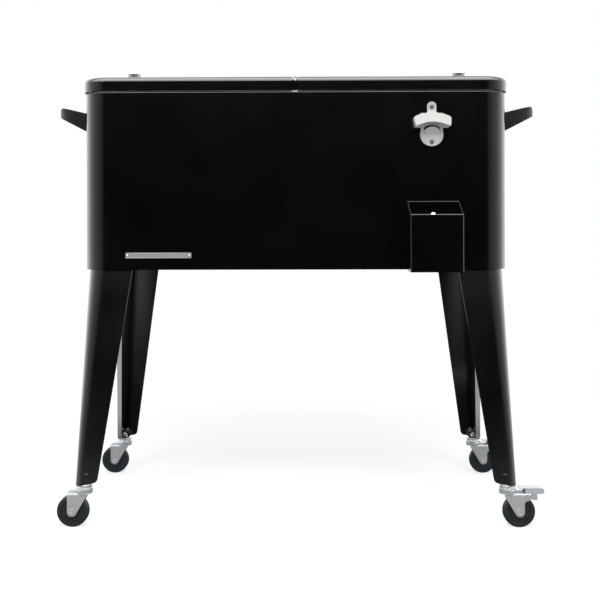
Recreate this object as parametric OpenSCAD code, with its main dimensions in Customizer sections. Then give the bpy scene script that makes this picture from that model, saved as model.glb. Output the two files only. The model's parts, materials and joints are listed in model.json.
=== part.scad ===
// Rolling patio cooler: an insulated steel chest with two lids, on four splayed legs with swivel casters.
// X runs across, the front faces -Y, Z is up and the floor is at Z = 0. Lengths are in millimetres.

/* [Cabinet] */
// Width of the steel body
body_w = 837; // [780:1:920]
// Depth of the steel body, front to back
body_d = 345; // [325:1:390]
// Height of the steel body
body_h = 350; // [310:1:420]
// Radius of the body's upright corners
corner_r = 50; // [48:1:58]
// Thickness of the body's steel sheet
sheet_t = 1.2; // [0.8:0.1:1.6]
// Radius of the bend round the body's top edge
rim_bend = 3; // [2:0.5:6]
// Width of the flange that the top edge turns in to
rim_flange = 14; // [12:1:18]
// Depth of the skirt below the bottom panel
skirt_h = 13; // [10:1:18]

/* [Insulation] */
// Thickness of the foam in the walls
foam_t = 18.8; // [15:0.1:24]
// Thickness of the foam under the liner's floor
floor_foam_t = 16; // [12:1:30]
// Thickness of the moulded liner
liner_t = 2; // [1.5:0.1:3]
// Thickness of the liner's rim, which lies on the steel flange
liner_rim_t = 1.8; // [1.5:0.1:2.5]
// Distance from the body's side to the edge of the liner's rim
liner_rim_inset = 8; // [7:0.5:10]
// Radius round the liner's floor
liner_floor_r = 12; // [8:1:18]

/* [Lids] */
// Height of a lid
lid_h = 27; // [24:1:34]
// How far a lid overhangs the body
lid_overhang = 3; // [2:0.5:6]
// Space between the body's top edge and a lid
lid_lift = 1; // [0.6:0.1:2]
// Space between the two lids
lid_gap = 11; // [10.5:0.1:14]
// Radius of the bend round a lid's top edge
lid_bend = 9; // [6:0.5:10]
// Thickness of a lid's steel sheet
lid_sheet_t = 1; // [0.8:0.1:1.4]
// Height of the space under a lid's inner panel
lid_recess = 5; // [4:0.5:7]
// Width of the seal
seal_w = 8; // [6:0.5:9]
// Distance from the liner's opening to the seal
seal_setback = 3; // [2:0.5:4]
// Distance from the middle of the cooler to a lid's inner seal
seal_inner_x = 14; // [12:0.5:16]
// Gap between a closed lid's seal and the rim
seal_gap = 0.3; // [0.2:0.1:0.6]

/* [Knobs] */
// Distance of a knob from the middle of the cooler
knob_x = 345; // [300:1:370]
// Diameter of a knob's head
knob_d = 35; // [28:1:42]
// Height of a knob above the lid
knob_h = 33; // [26:1:40]
// Height of a knob's head
knob_head_h = 11; // [8:0.5:14]
// Diameter of a knob's neck
knob_neck_d = 14; // [11:0.5:18]
// Diameter of the screw that holds a knob
knob_screw_d = 5; // [4:0.5:6]

/* [Hinge] */
// Diameter of the hinge barrel
barrel_d = 9.4; // [8:0.1:9.8]
// Diameter of the hinge pin
hinge_pin_d = 5; // [4:0.1:6]
// Radial clearance of the hinge pin
hinge_clear = 0.05; // [0.03:0.01:0.1]
// Thickness of a hinge leaf
leaf_t = 1.5; // [1.2:0.1:1.8]
// Height of a hinge leaf
leaf_h = 24; // [18:1:26]
// Length of a lid's knuckle
knuckle_len = 55; // [40:1:58]
// Length of a fixed knuckle
fixed_len = 20; // [16:1:24]
// Gap between two knuckles
knuckle_gap = 0.4; // [0.3:0.1:0.8]
// Width of the bar across the opening
bar_w = 52; // [46:1:60]
// Width of the bar's channel
bar_channel_w = 32; // [24:1:40]
// Depth of the bar's channel
bar_channel_h = 17; // [12:1:24]
// Thickness of the bar's sheet
bar_t = 1.5; // [1.2:0.1:1.8]

/* [Legs] */
// Height of a leg below the body
leg_h = 412.5; // [360:0.5:480]
// How far the top of a leg stands inside the body's sides
leg_inset = 7.1; // [7:0.1:12]
// How far the foot of a leg stands out to the side
splay_x = 13; // [4:0.1:24]
// How far the foot of a leg stands out to the front or back
splay_y = 44.6; // [20:0.1:60]
// Radius of a leg's corner at the body
leg_r = 40; // [32:0.5:44]
// Radius of a leg's corner at the foot
leg_r_foot = 13; // [12:0.5:14]
// Angle by which a leg's side is folded in behind its face
leg_fold = 30; // [20:1:32]
// Thickness of a leg's steel sheet
leg_t = 1.6; // [1.2:0.1:2]
// Width of a leg's face at the top
leg_face_top = 93; // [80:1:110]
// Width of a leg's face at the foot
leg_face_foot = 43.3; // [42:0.1:52]
// Width of a leg's side at the top
leg_side_top = 92; // [70:1:100]
// Width of a leg's side at the foot
leg_side_foot = 44; // [42:0.5:52]
// Rise of a leg's lower edge towards its free side
leg_foot_rise = 6; // [3:0.5:10]
// Radius of a leg's free lower corner
leg_foot_r = 10; // [6:0.5:14]
// Thickness of the plate welded in the top of a leg
leg_plate_t = 2; // [1.5:0.1:3]
// Diameter of the bolts that hold the legs
leg_bolt_d = 6; // [5:0.5:8]
// Thickness of the plate that carries a caster
foot_plate_t = 2.5; // [2:0.1:4]
// Height of the bolt that holds that plate, above the foot of the leg
foot_bolt_rise = 19.5; // [19:0.5:26]
// Distance of that bolt from the leg's corner
foot_bolt_in = 22; // [21.5:0.1:24]
// Diameter of that bolt
foot_bolt_d = 5; // [4:0.5:6]

/* [Casters] */
// Distance of a caster's stem from the outer side of its leg's foot
stem_in_x = 16.1; // [16:0.1:18]
// Distance of a caster's stem from the face of its leg's foot
stem_in_y = 11.7; // [11.6:0.1:14]
// Diameter of a wheel
wheel_d = 61; // [56:0.5:64]
// Width of a wheel
wheel_w = 19; // [17:0.5:20]
// Trail of a wheel behind its stem
trail = 21; // [18:0.5:24]
// Thickness of a fork's steel sheet
fork_t = 2; // [1.5:0.1:2.4]
// Space between a fork's two sides
fork_gap = 24; // [23:0.5:26]
// Space between a wheel and the crown of its fork
crown_gap = 3.5; // [3:0.1:5]
// Radius of the round end of a fork's side
fork_end_r = 9; // [7:0.1:9.5]
// Diameter of the swivel races
race_d = 32; // [30:0.5:34]
// Height of the lower swivel race
race_h = 3; // [2.4:0.1:3.6]
// Diameter of the swivel balls
ball_d = 4; // [3.6:0.1:4.2]
// Diameter of the circle of balls
ball_ring_d = 22; // [20:0.5:24]
// Number of balls in a swivel
balls = 8; // [6:1:10]
// Diameter of a caster's stem
stem_d = 8; // [7:0.5:9]
// Height of the stem above its plate
stem_end = 11; // [9.5:0.5:11]
// Diameter of an axle
axle_d = 6; // [5:0.1:7]
// Diameter of the bush that a wheel turns on
bush_d = 9; // [8.2:0.1:10]
// Radial clearance of the turning fits in a caster
turn_clear = 0.05; // [0.03:0.01:0.1]

/* [Brakes] */
// Distance of a brake's pivot behind the stem
brake_x = 36; // [34:0.5:38]
// Height of a brake's pivot above the wheel
brake_rise = 1; // [0.5:0.1:2]
// Diameter of a brake's pivot pin
brake_pin_d = 4; // [3:0.1:5]
// Reach of the pedal behind the stem
pedal_reach = 68; // [60:1:74]
// Depth of the pedal
pedal_depth = 11; // [9:0.5:12]
// Thickness of the brake lever's sheet
lever_t = 1.5; // [1.2:0.1:1.8]
// Gap between the brake shoe and the tread
shoe_gap = 3.2; // [2.8:0.1:3.6]

/* [Handles] */
// Reach of a handle from the body's side
handle_reach = 80.5; // [62:0.5:90]
// Length of a handle along the body's side, without its flanges
handle_len = 132; // [116:1:160]
// Radius of a handle's outer corners, seen from above
handle_bend = 50; // [40:1:53]
// Thickness of a handle's arms and grip, seen from above
handle_bar = 19; // [15:0.5:22]
// Height of a handle's arm at the body
handle_root = 41.5; // [36:0.5:44]
// Height of a handle at its outer end
handle_tip = 20.4; // [18:0.2:26]
// Slope of a handle's upper edge
handle_rise = 0.25; // [0.1:0.01:0.3]
// Distance of a handle's upper edge below the body's top
handle_drop = 35; // [28:1:60]
// Height of a handle's flange
flange_h = 46; // [42:1:54]
// Thickness of a handle's flange
flange_t = 5; // [3:0.5:7]
// Length of a handle's flange beyond its arm
flange_len = 24; // [18:1:30]
// Distance of a flange's middle below the handle's upper edge
flange_drop = 9.5; // [8:0.5:16]
// Distance between the two screws of a flange
flange_pitch = 14; // [12:1:20]

/* [Opener] */
// Distance of the bottle opener from the middle of the cooler
opener_x = 267; // [240:1:290]
// Distance of the opener's top below the body's top
opener_drop = 23; // [15:1:40]
// Width of the opener's hood
hood_w = 73; // [64:1:80]
// Height of the opener
opener_h = 86.5; // [82:0.5:96]
// Diameter of the opener's lower disc
disc_d = 45; // [42:0.5:52]
// Width of the opener's upper tab
tab_w = 17.6; // [15:0.1:22]
// Thickness of the opener's plate
opener_t = 5; // [4:0.5:7]
// Reach of the opener's hood from the body
hood_reach = 31; // [28:1:36]
// Diameter of the opener's screws
opener_screw_d = 4.5; // [4:0.5:5]

/* [Cap catcher] */
// Distance of the cap catcher from the middle of the cooler
catcher_x = 270; // [240:1:290]
// Width of the cap catcher
catcher_w = 101; // [80:1:120]
// Depth of the cap catcher
catcher_d = 62; // [45:1:80]
// Height of the cap catcher's front
catcher_h = 110; // [80:1:130]
// Height of the cap catcher's back plate above its front
catcher_back = 25; // [18:1:36]
// How far the cap catcher hangs below the body
catcher_drop = 2.5; // [0:0.5:6]
// Thickness of the cap catcher's sheet
catcher_t = 1.2; // [1:0.1:2]
// Diameter of the head of the screws that hold the cap catcher
catcher_screw_d = 10.5; // [8:0.5:12]

/* [Drain] */
// Distance of the drain to the left of the middle
drain_x = 250; // [200:1:280]
// Distance of the drain behind the middle
drain_y = 50; // [20:1:80]
// Bore of the drain
drain_bore = 12; // [9:0.5:14]
// Diameter of the drain's tube
drain_d = 18; // [17:0.5:20]
// How far the drain's tube reaches below the bottom panel
drain_reach = 17; // [15:0.5:22]
// Height of the drain's cap
drain_cap_h = 12; // [9:0.5:13]
// Gap between the drain's tube and its cap
drain_gap = 0.3; // [0.2:0.05:0.5]

/* [Hidden] */
$fn = 64;

// Finishes
paint = [0.05, 0.05, 0.055];
leg_paint = [0.06, 0.06, 0.065];
liner_white = [0.86, 0.87, 0.88];
foam_cream = [0.93, 0.88, 0.72];
chrome = [0.82, 0.83, 0.85];
zinc = [0.66, 0.68, 0.7];
rubber = [0.17, 0.175, 0.18];
seal_grey = [0.22, 0.22, 0.23];
nylon = [0.12, 0.12, 0.13];

// Heights from the floor up
axle_z = wheel_d / 2;
crown_z = wheel_d + crown_gap;
fork_top = crown_z + fork_t;
lower_race_top = fork_top + race_h;
race_gap = 0.7;
upper_race_z = lower_race_top + race_gap;
upper_race_h = 3.6;
collar_h = 2.4;
washer_h = 3.3;
boss_h = 3.5;
foot_plate_z = upper_race_z + upper_race_h + collar_h + washer_h + boss_h;
foot_z = foot_plate_z - 2.5;
body_z = foot_z + leg_h;
body_top = body_z + body_h;
panel_z = body_z + skirt_h;
panel_top = panel_z + sheet_t;
liner_floor = panel_top + floor_foam_t + liner_t;
rim_top = body_top + liner_rim_t;
lid_z = body_top + lid_lift;
lid_top = lid_z + lid_h;
lid_panel_z = lid_z + lid_recess;
hinge_z = lid_top;

// Plan sizes
liner_w = body_w - 2 * (sheet_t + foam_t);
liner_d = body_d - 2 * (sheet_t + foam_t);
liner_r = corner_r - sheet_t - foam_t;
cavity_w = liner_w - 2 * liner_t;
cavity_d = liner_d - 2 * liner_t;
cavity_r = liner_r - liner_t;
lid_len = (body_w - lid_gap) / 2 + lid_overhang;
lid_d = body_d + 2 * lid_overhang;
lid_r = corner_r + lid_overhang;
panel_gap = 0.5;
leg_top_x = body_w / 2 - leg_inset;
leg_top_y = body_d / 2 - leg_inset;
stem_x = leg_top_x + splay_x - stem_in_x;
stem_y = leg_top_y + splay_y - stem_in_y;
leg_lean = [asin(splay_y / norm([splay_x, splay_y, leg_h])), -atan2(splay_x, leg_h), 0];
stem_places = [[-1, -1], [1, -1], [-1, 1], [1, 1]];

// The origin is midway between the foremost and the rearmost point
axle_half = fork_gap / 2 + fork_t + 1.8;
reach_front = body_d / 2 + catcher_d;
reach_back = stem_y + axle_half;
base_y = (reach_front - reach_back) / 2;

// Brake, in the plane of a fork that trails towards +X
brake_z = wheel_d + brake_rise;
pedal_top = upper_race_z + upper_race_h + 2.2;
lever_half = fork_gap / 2 - 0.9;

// Mounting points on the body's front and sides
front_y = -body_d / 2;
opener_top = body_top - opener_drop;
opener_low = opener_top - opener_h;
tab_screw_z = opener_top - 10;
disc_screw_z = opener_low + 8;
catcher_low = body_z - catcher_drop;
catcher_rim = catcher_low + catcher_h;
catcher_top = catcher_rim + catcher_back;
handle_top = body_top - handle_drop;
flange_mid = handle_top - flange_drop;
flange_y = handle_len / 2 + flange_len / 2;

// Points that round the corner at b, between a and c, to radius r
function corner_arc(a, b, c, r, n = 8) =
    let (u = (a - b) / norm(a - b),
         v = (c - b) / norm(c - b),
         half = acos(u * v) / 2,
         turn = 180 - 2 * half,
         m = b + (u + v) / norm(u + v) * r / sin(half),
         p = b + u * r / tan(half) - m,
         q = b + v * r / tan(half) - m)
    [for (i = [0 : n]) m + (p * sin(turn * (1 - i / n)) + q * sin(turn * i / n)) / sin(turn)];

// An outline whose points are [x, y, radius of the corner]
function rounded(points) =
    let (n = len(points))
    [for (i = [0 : n - 1])
        let (a = points[(i + n - 1) % n], b = points[i], c = points[(i + 1) % n])
        each b[2] == 0 ? [[b[0], b[1]]] : corner_arc([a[0], a[1]], [b[0], b[1]], [c[0], c[1]], b[2])];

// Where the outer corner of a leg lies at height z
function leg_corner(z) =
    [leg_top_x + splay_x * (body_z - z) / leg_h, leg_top_y + splay_y * (body_z - z) / leg_h];

// Plan of a rounded rectangle, centred
module round_rect(w, d, r) {
    square([w - 2 * r, d], center = true);
    square([w, d - 2 * r], center = true);
    for (sx = [-1, 1], sy = [-1, 1])
        translate([sx * (w / 2 - r), sy * (d / 2 - r)])
            circle(r);
}

// Plan of one half of it: square at x = 0 and rounded at its far end
module half_rect(len, d, r) {
    translate([0, -d / 2])
        square([len - r, d]);
    translate([0, -d / 2 + r])
        square([len, d - 2 * r]);
    for (sy = [-1, 1])
        translate([len - r, sy * (d / 2 - r)])
            circle(r);
}

// Quarter of a disc
module quarter(f) {
    intersection() {
        circle(f);
        square(f);
    }
}

// Quarter of a disc, run on into the two faces that it joins
module edge_bend(f) {
    quarter(f);
    polygon([
        [0, 0.8 * f],
        [-f / 3, 0.8 * f],
        [-f / 3, -f / 3],
        [0.8 * f, -f / 3],
        [0.8 * f, 0],
        [0, 0]
    ]);
}

// Half slab whose top edge is rounded to radius f on its three outer sides
module half_slab(len, d, r, h, f) {
    linear_extrude(h - f)
        half_rect(len, d, r);
    linear_extrude(h)
        half_rect(len - f, d - 2 * f, r - f);
    translate([0, 0, h - f]) {
        for (side = [0, 1])
            mirror([0, side, 0]) {
                translate([0, d / 2 - f, 0])
                    rotate([90, 0, 90])
                        linear_extrude(len - r)
                            edge_bend(f);
                translate([len - r, d / 2 - r, 0])
                    rotate_extrude(angle = 90)
                        translate([r - f, 0])
                            edge_bend(f);
            }
        translate([len - f, d / 2 - r, 0])
            rotate([90, 0, 0])
                linear_extrude(d - 2 * r)
                    edge_bend(f);
    }
}

// Whole slab with its top edge rounded
module slab(w, d, r, h, f) {
    for (side = [0, 1])
        mirror([side, 0, 0])
            half_slab(w / 2, d, r, h, f);
}

// Extrudes an outline drawn as x and z through y, from y0 to y1
module front_cut(y0, y1) {
    translate([0, y1, 0])
        rotate([90, 0, 0])
            linear_extrude(y1 - y0)
                children();
}

// Extrudes an outline drawn as y and z through x, from x0 to x1
module side_cut(x0, x1) {
    translate([x0, 0, 0])
        rotate([90, 0, 90])
            linear_extrude(x1 - x0)
                children();
}

// Cylinder along y, from y0 to y1
module rod_y(d, y0, y1) {
    translate([0, y1, 0])
        rotate([90, 0, 0])
            cylinder(d = d, h = y1 - y0);
}

// Cylinder along x, from x0 to x1
module rod_x(d, x0, x1) {
    translate([x0, 0, 0])
        rotate([0, 90, 0])
            cylinder(d = d, h = x1 - x0);
}

// Low domed screw head on the plane z = 0, with its cross recess
module dome_head(d, h) {
    dome_r = (d * d / 4 + h * h) / (2 * h);
    difference() {
        intersection() {
            translate([0, 0, h - dome_r])
                sphere(dome_r);
            cylinder(d = d, h = h);
        }
        for (turn = [0, 90])
            rotate(turn)
                translate([-d / 5, -d / 22, h * 0.55])
                    cube([d / 2.5, d / 11, h]);
    }
}

// Screws through the body's sides, each at its own place
handle_screw_places = [for (sx = [-1, 1], sy = [-1, 1], sz = [-1, 1])
    [sx * body_w / 2, sy * flange_y, flange_mid + sz * flange_pitch / 2]];
handle_screw_d = 4.5;

module outer_shell() {
    color(paint)
        translate([0, base_y, 0])
            difference() {
                translate([0, 0, body_z])
                    slab(body_w, body_d, corner_r, body_h, rim_bend);
                translate([0, 0, body_z - 1])
                    slab(body_w - 2 * sheet_t, body_d - 2 * sheet_t, corner_r - sheet_t,
                         body_h + 1 - sheet_t, rim_bend - sheet_t);
                translate([0, 0, body_top - 2 * sheet_t])
                    linear_extrude(3 * sheet_t)
                        round_rect(body_w - 2 * rim_flange, body_d - 2 * rim_flange, corner_r - rim_flange);
                for (z = [tab_screw_z, disc_screw_z])
                    translate([opener_x, 0, z])
                        rod_y(opener_screw_d, front_y - 1, front_y + 2 * sheet_t);
                for (z = catcher_screw_zs)
                    translate([catcher_x, 0, z])
                        rod_y(catcher_shank_d, front_y - 1, front_y + 2 * sheet_t);
                for (p = handle_screw_places)
                    translate(p)
                        rod_x(handle_screw_d, -2 * sheet_t, 2 * sheet_t);
            }
}

// Space inside the liner, with its floor rounded all round
module cavity() {
    depth = rim_top - liner_floor + 1;
    translate([0, 0, rim_top + 1])
        mirror([0, 0, 1])
            slab(cavity_w, cavity_d, cavity_r, depth, liner_floor_r);
}

// The drain's flange lies in a dish in the liner's floor
dish_d = drain_d + 15;
dish_h = 2.4;

module drain_hole(d, z0, z1) {
    translate([-drain_x, drain_y, z0])
        cylinder(d = d, h = z1 - z0);
}

module inner_liner() {
    color(liner_white)
        translate([0, base_y, 0])
            difference() {
                union() {
                    translate([0, 0, liner_floor - liner_t])
                        linear_extrude(body_top - liner_floor + liner_t)
                            round_rect(liner_w, liner_d, liner_r);
                    translate([0, 0, body_top])
                        linear_extrude(liner_rim_t)
                            round_rect(body_w - 2 * liner_rim_inset, body_d - 2 * liner_rim_inset,
                                       corner_r - liner_rim_inset);
                    drain_hole(dish_d + 2 * liner_t, liner_floor - dish_h - liner_t, liner_floor - 0.5);
                }
                cavity();
                drain_hole(dish_d, liner_floor - dish_h, liner_floor + 1);
                drain_hole(drain_d, liner_floor - dish_h - 2 * liner_t, liner_floor + 1);
            }
}

module foam_insulation() {
    color(foam_cream)
        translate([0, base_y, 0])
            difference() {
                translate([0, 0, panel_top])
                    linear_extrude(body_top - rim_bend - panel_top)
                        round_rect(body_w - 2 * sheet_t, body_d - 2 * sheet_t, corner_r - sheet_t);
                translate([0, 0, liner_floor - liner_t])
                    linear_extrude(body_h)
                        round_rect(liner_w, liner_d, liner_r);
                drain_hole(drain_d, panel_top - 1, liner_floor);
                drain_hole(dish_d + 2 * liner_t, liner_floor - dish_h - liner_t, liner_floor);
            }
}

// Places of the two bolts in the top of a leg, from the leg's corner
leg_bolt_places = [[-24, -22], [-66, -22]];

module bottom_panel() {
    lip_h = skirt_h - 3;
    color(paint)
        translate([0, base_y, 0])
            difference() {
                union() {
                    translate([0, 0, panel_z])
                        linear_extrude(sheet_t)
                            round_rect(body_w - 2 * sheet_t, body_d - 2 * sheet_t, corner_r - sheet_t);
                    for (side = [0, 1]) {
                        mirror([0, side, 0])
                            translate([-leg_top_x + leg_face_top + 8, body_d / 2 - 2 * sheet_t, panel_z - lip_h])
                                cube([2 * (leg_top_x - leg_face_top - 8), sheet_t, lip_h + sheet_t]);
                        mirror([side, 0, 0])
                            translate([body_w / 2 - 2 * sheet_t, -leg_top_y + leg_side_top + 8, panel_z - lip_h])
                                cube([sheet_t, 2 * (leg_top_y - leg_side_top - 8), lip_h + sheet_t]);
                    }
                }
                for (s = stem_places, b = leg_bolt_places)
                    translate([s[0] * (leg_top_x + b[0]), s[1] * (leg_top_y + b[1]), panel_z - 1])
                        cylinder(d = leg_bolt_d, h = sheet_t + 2);
                drain_hole(drain_d, panel_z - 1, panel_top + 1);
            }
}

// Hinge knuckles from the front: fixed ones alternate with the two lids' own
knuckle_run = 3 * fixed_len + 4 * knuckle_len + 6 * knuckle_gap;
knuckle_start = -knuckle_run / 2;
// Start of each knuckle along y
fixed_starts = [for (i = [0 : 2]) knuckle_start + i * (fixed_len + 2 * knuckle_len + 3 * knuckle_gap)];
left_starts = [fixed_starts[0] + fixed_len + knuckle_gap,
               fixed_starts[1] + fixed_len + knuckle_len + 2 * knuckle_gap];
right_starts = [fixed_starts[0] + fixed_len + knuckle_len + 2 * knuckle_gap,
                fixed_starts[1] + fixed_len + knuckle_gap];

module center_bar() {
    web_w = 6;
    web_top = hinge_z - barrel_d / 2 - 0.6;
    channel_len = cavity_d;
    color(paint)
        translate([0, base_y, 0])
            difference() {
                union() {
                    translate([-bar_w / 2, -cavity_d / 2, rim_top - bar_t])
                        cube([bar_w, cavity_d, bar_t]);
                    difference() {
                        translate([-bar_channel_w / 2, -channel_len / 2, rim_top - bar_channel_h])
                            cube([bar_channel_w, channel_len, bar_channel_h]);
                        translate([-bar_channel_w / 2 + bar_t, -channel_len / 2 + bar_t, rim_top - bar_channel_h - 1])
                            cube([bar_channel_w - 2 * bar_t, channel_len - 2 * bar_t, bar_channel_h + 1 - bar_t]);
                    }
                    translate([-web_w / 2, knuckle_start, rim_top - bar_t])
                        cube([web_w, knuckle_run, web_top - rim_top + bar_t]);
                    for (y = fixed_starts) {
                        translate([-barrel_d / 2, y, rim_top - bar_t])
                            cube([barrel_d, fixed_len, hinge_z - rim_top + bar_t]);
                        translate([0, 0, hinge_z])
                            rod_y(barrel_d, y, y + fixed_len);
                    }
                }
                translate([0, 0, hinge_z])
                    rod_y(hinge_pin_d + 2 * hinge_clear, knuckle_start - 1, -knuckle_start + 1);
            }
}

module hinge_pin() {
    head_t = 1.2;
    color(zinc)
        translate([0, base_y, hinge_z]) {
            rod_y(hinge_pin_d, knuckle_start - head_t, -knuckle_start + head_t);
            for (y = [knuckle_start - head_t, -knuckle_start])
                rod_y(hinge_pin_d + 2.5, y, y + head_t);
        }
}

// A lid's parts are drawn for the right-hand lid and mirrored for the left
module lid_place(side) {
    translate([0, base_y, 0])
        mirror([side == "left" ? 1 : 0, 0, 0])
            children();
}

module lid_shell(side) {
    t = lid_sheet_t;
    color(paint)
        lid_place(side)
            difference() {
                translate([lid_gap / 2, 0, lid_z])
                    half_slab(lid_len, lid_d, lid_r, lid_h, lid_bend);
                translate([lid_gap / 2 + t, 0, lid_z - 1])
                    half_slab(lid_len - 2 * t, lid_d - 2 * t, lid_r - t, lid_h + 1 - t, lid_bend - t);
                translate([knob_x, 0, lid_top - 2 * t])
                    cylinder(d = knob_screw_d + 0.2, h = 3 * t);
                // Relief over the liner's rim and the bar
                translate([0, -body_d / 2 + liner_rim_inset - 2, lid_z - 1])
                    cube([lid_gap / 2 + 2 * t, body_d - 2 * liner_rim_inset + 4, rim_top + 2 - lid_z]);
            }
}

module lid_panel(side) {
    t = lid_sheet_t + panel_gap;
    panel_h = lid_top - lid_sheet_t - 0.2 - lid_panel_z;
    color(liner_white)
        lid_place(side)
            difference() {
                translate([lid_gap / 2 + t, 0, lid_panel_z])
                    half_slab(lid_len - 2 * t, lid_d - 2 * t, lid_r - t, panel_h, lid_bend - lid_sheet_t);
                translate([seal_inner_x + seal_w + 12, 0, lid_panel_z - 1])
                    linear_extrude(5)
                        translate([-20, 0])
                            intersection() {
                                half_rect(cavity_w / 2 - seal_inner_x - seal_w - 4, cavity_d - 24, cavity_r - 8);
                                translate([20, -cavity_d])
                                    square([cavity_w, 2 * cavity_d]);
                            }
                translate([knob_x, 0, lid_panel_z - 1])
                    cylinder(d = knob_screw_d + 0.2, h = lid_h);
                translate([knob_x, 0, lid_panel_z - 1])
                    cylinder(d = 14, h = 9);
            }
}

module lid_seal(side) {
    outer_len = cavity_w / 2 + seal_setback + seal_w - seal_inner_x;
    outer_d = cavity_d + 2 * (seal_setback + seal_w);
    outer_r = cavity_r + seal_setback + seal_w;
    color(seal_grey)
        lid_place(side)
            translate([seal_inner_x, 0, rim_top + seal_gap])
                linear_extrude(lid_panel_z - rim_top - seal_gap)
                    difference() {
                        half_rect(outer_len, outer_d, outer_r);
                        translate([seal_w, 0])
                            half_rect(outer_len - 2 * seal_w, outer_d - 2 * seal_w, outer_r - seal_w);
                    }
}

module lid_hinge(side) {
    starts = side == "left" ? left_starts : right_starts;
    leaf_x = lid_gap / 2 - leaf_t;
    color(paint)
        lid_place(side)
            for (y = starts)
                difference() {
                    union() {
                        translate([0, 0, hinge_z])
                            rod_y(barrel_d, y, y + knuckle_len);
                        translate([leaf_x, y, hinge_z - leaf_h])
                            cube([leaf_t, knuckle_len, leaf_h]);
                    }
                    translate([0, 0, hinge_z])
                        rod_y(hinge_pin_d + 2 * hinge_clear, y - 1, y + knuckle_len + 1);
                }
}

module lid_knob(side) {
    edge = 2.5;
    head_r = knob_d / 2;
    color(chrome)
        lid_place(side)
            translate([knob_x, 0, lid_top])
                difference() {
                    rotate_extrude() {
                        // Foot, neck and head
                        square([knob_neck_d / 2 + 2, 3]);
                        square([knob_neck_d / 2, knob_h - 2]);
                        translate([0, knob_h - knob_head_h])
                            square([head_r - edge, knob_head_h]);
                        translate([0, knob_h - knob_head_h + edge])
                            square([head_r, knob_head_h - 2 * edge]);
                        for (z = [knob_h - knob_head_h + edge, knob_h - edge])
                            translate([head_r - edge, z])
                                circle(edge);
                    }
                    translate([0, 0, -1])
                        cylinder(d = knob_screw_d, h = 19);
                }
}

module lid_knob_screw(side) {
    head_z = lid_panel_z + 8;
    color(zinc)
        lid_place(side)
            translate([knob_x, 0, head_z - 3]) {
                cylinder(d = 9.5, h = 3);
                cylinder(d = knob_screw_d, h = lid_top + 17 - head_z);
            }
}

// Plan of a leg's corner, filled: the face along x, a bend of radius r and the side folded in
module folded_corner(a, b, r) {
    bend_steps = 24;
    bend_end = [-r + r * cos(leg_fold), -r - r * sin(leg_fold)];
    polygon([
        [-a, -b],
        [-a, 0],
        for (i = [0:bend_steps])
            let (t = 90 - i * (90 + leg_fold) / bend_steps)
                [-r + r * cos(t), -r + r * sin(t)],
        [bend_end[0] - (b + bend_end[1]) * tan(leg_fold), -b]
    ]);
}

// Outside of a leg, or its inside at a given inset: the bend tightens towards the foot
leg_over = 0.15 * leg_h;

module leg_taper(inset, reach) {
    step = (leg_r - leg_r_foot) * leg_over / leg_h;
    low_r = leg_r_foot - step - inset;
    high_r = leg_r + step - inset;
    translate([-inset, -inset, -leg_h - leg_over])
        linear_extrude(leg_h + 2 * leg_over, scale = high_r / low_r)
            folded_corner(reach * leg_face_foot, reach * leg_side_foot, low_r);
}

// Outline of a leg's face: tapered, with its lower edge rising to a round free corner
function leg_outline(corner_top, corner_foot, wide_top, wide_foot) =
    rounded([
        [corner_foot + leg_r, foot_z, 0],
        [corner_foot + leg_r, panel_z, 0],
        [corner_top - wide_top, panel_z, 0],
        [corner_foot - wide_foot, foot_z + leg_foot_rise, leg_foot_r],
        [corner_foot - leg_r_foot, foot_z, 0]
    ]);

module leg(sx, sy) {
    top_corner = leg_corner(panel_z);
    foot_corner = leg_corner(foot_z);
    plate_corner = leg_corner(panel_z - leg_plate_t / 2);
    over = 100;
    color(leg_paint)
        translate([0, base_y, 0])
            mirror([sx < 0 ? 1 : 0, 0, 0])
                mirror([0, sy < 0 ? 1 : 0, 0])
                    difference() {
                        union() {
                            intersection() {
                                translate([leg_top_x, leg_top_y, body_z])
                                    rotate(leg_lean)
                                        difference() {
                                            leg_taper(0, 1.3);
                                            leg_taper(leg_t, 2.6);
                                        }
                                front_cut(0, body_d + over)
                                    polygon(leg_outline(top_corner[0], foot_corner[0], leg_face_top, leg_face_foot));
                                side_cut(0, body_w)
                                    polygon(leg_outline(top_corner[1], foot_corner[1], leg_side_top, leg_side_foot));
                            }
                            translate([plate_corner[0] - leg_t / 2, plate_corner[1] - leg_t / 2, panel_z - leg_plate_t])
                                linear_extrude(leg_plate_t)
                                    folded_corner(leg_face_top - 8, leg_side_top - 10, leg_r - leg_t / 2);
                        }
                        for (b = leg_bolt_places)
                            translate([leg_top_x + b[0], leg_top_y + b[1], panel_z - 2 * leg_plate_t])
                                cylinder(d = leg_bolt_d + 0.4, h = 3 * leg_plate_t);
                        foot_bolt_place()
                            rod_y(foot_bolt_d, -2 * leg_t, leg_t);
                    }
}

// A leg's foot bolt runs square to the leg's face
module foot_bolt_place() {
    stretch = norm([splay_x, splay_y, leg_h]) / leg_h;
    translate([leg_top_x, leg_top_y, body_z])
        rotate(leg_lean)
            translate([-foot_bolt_in, 0, -(leg_h - foot_bolt_rise) * stretch])
                children();
}

module leg_front_left() leg(-1, -1);
module leg_front_right() leg(1, -1);
module leg_rear_left() leg(-1, 1);
module leg_rear_right() leg(1, 1);

// Plates across the feet of the legs, each with a lip that is bolted to the leg's face
lip_gap = 0.3;
lip_t = 2;

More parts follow.
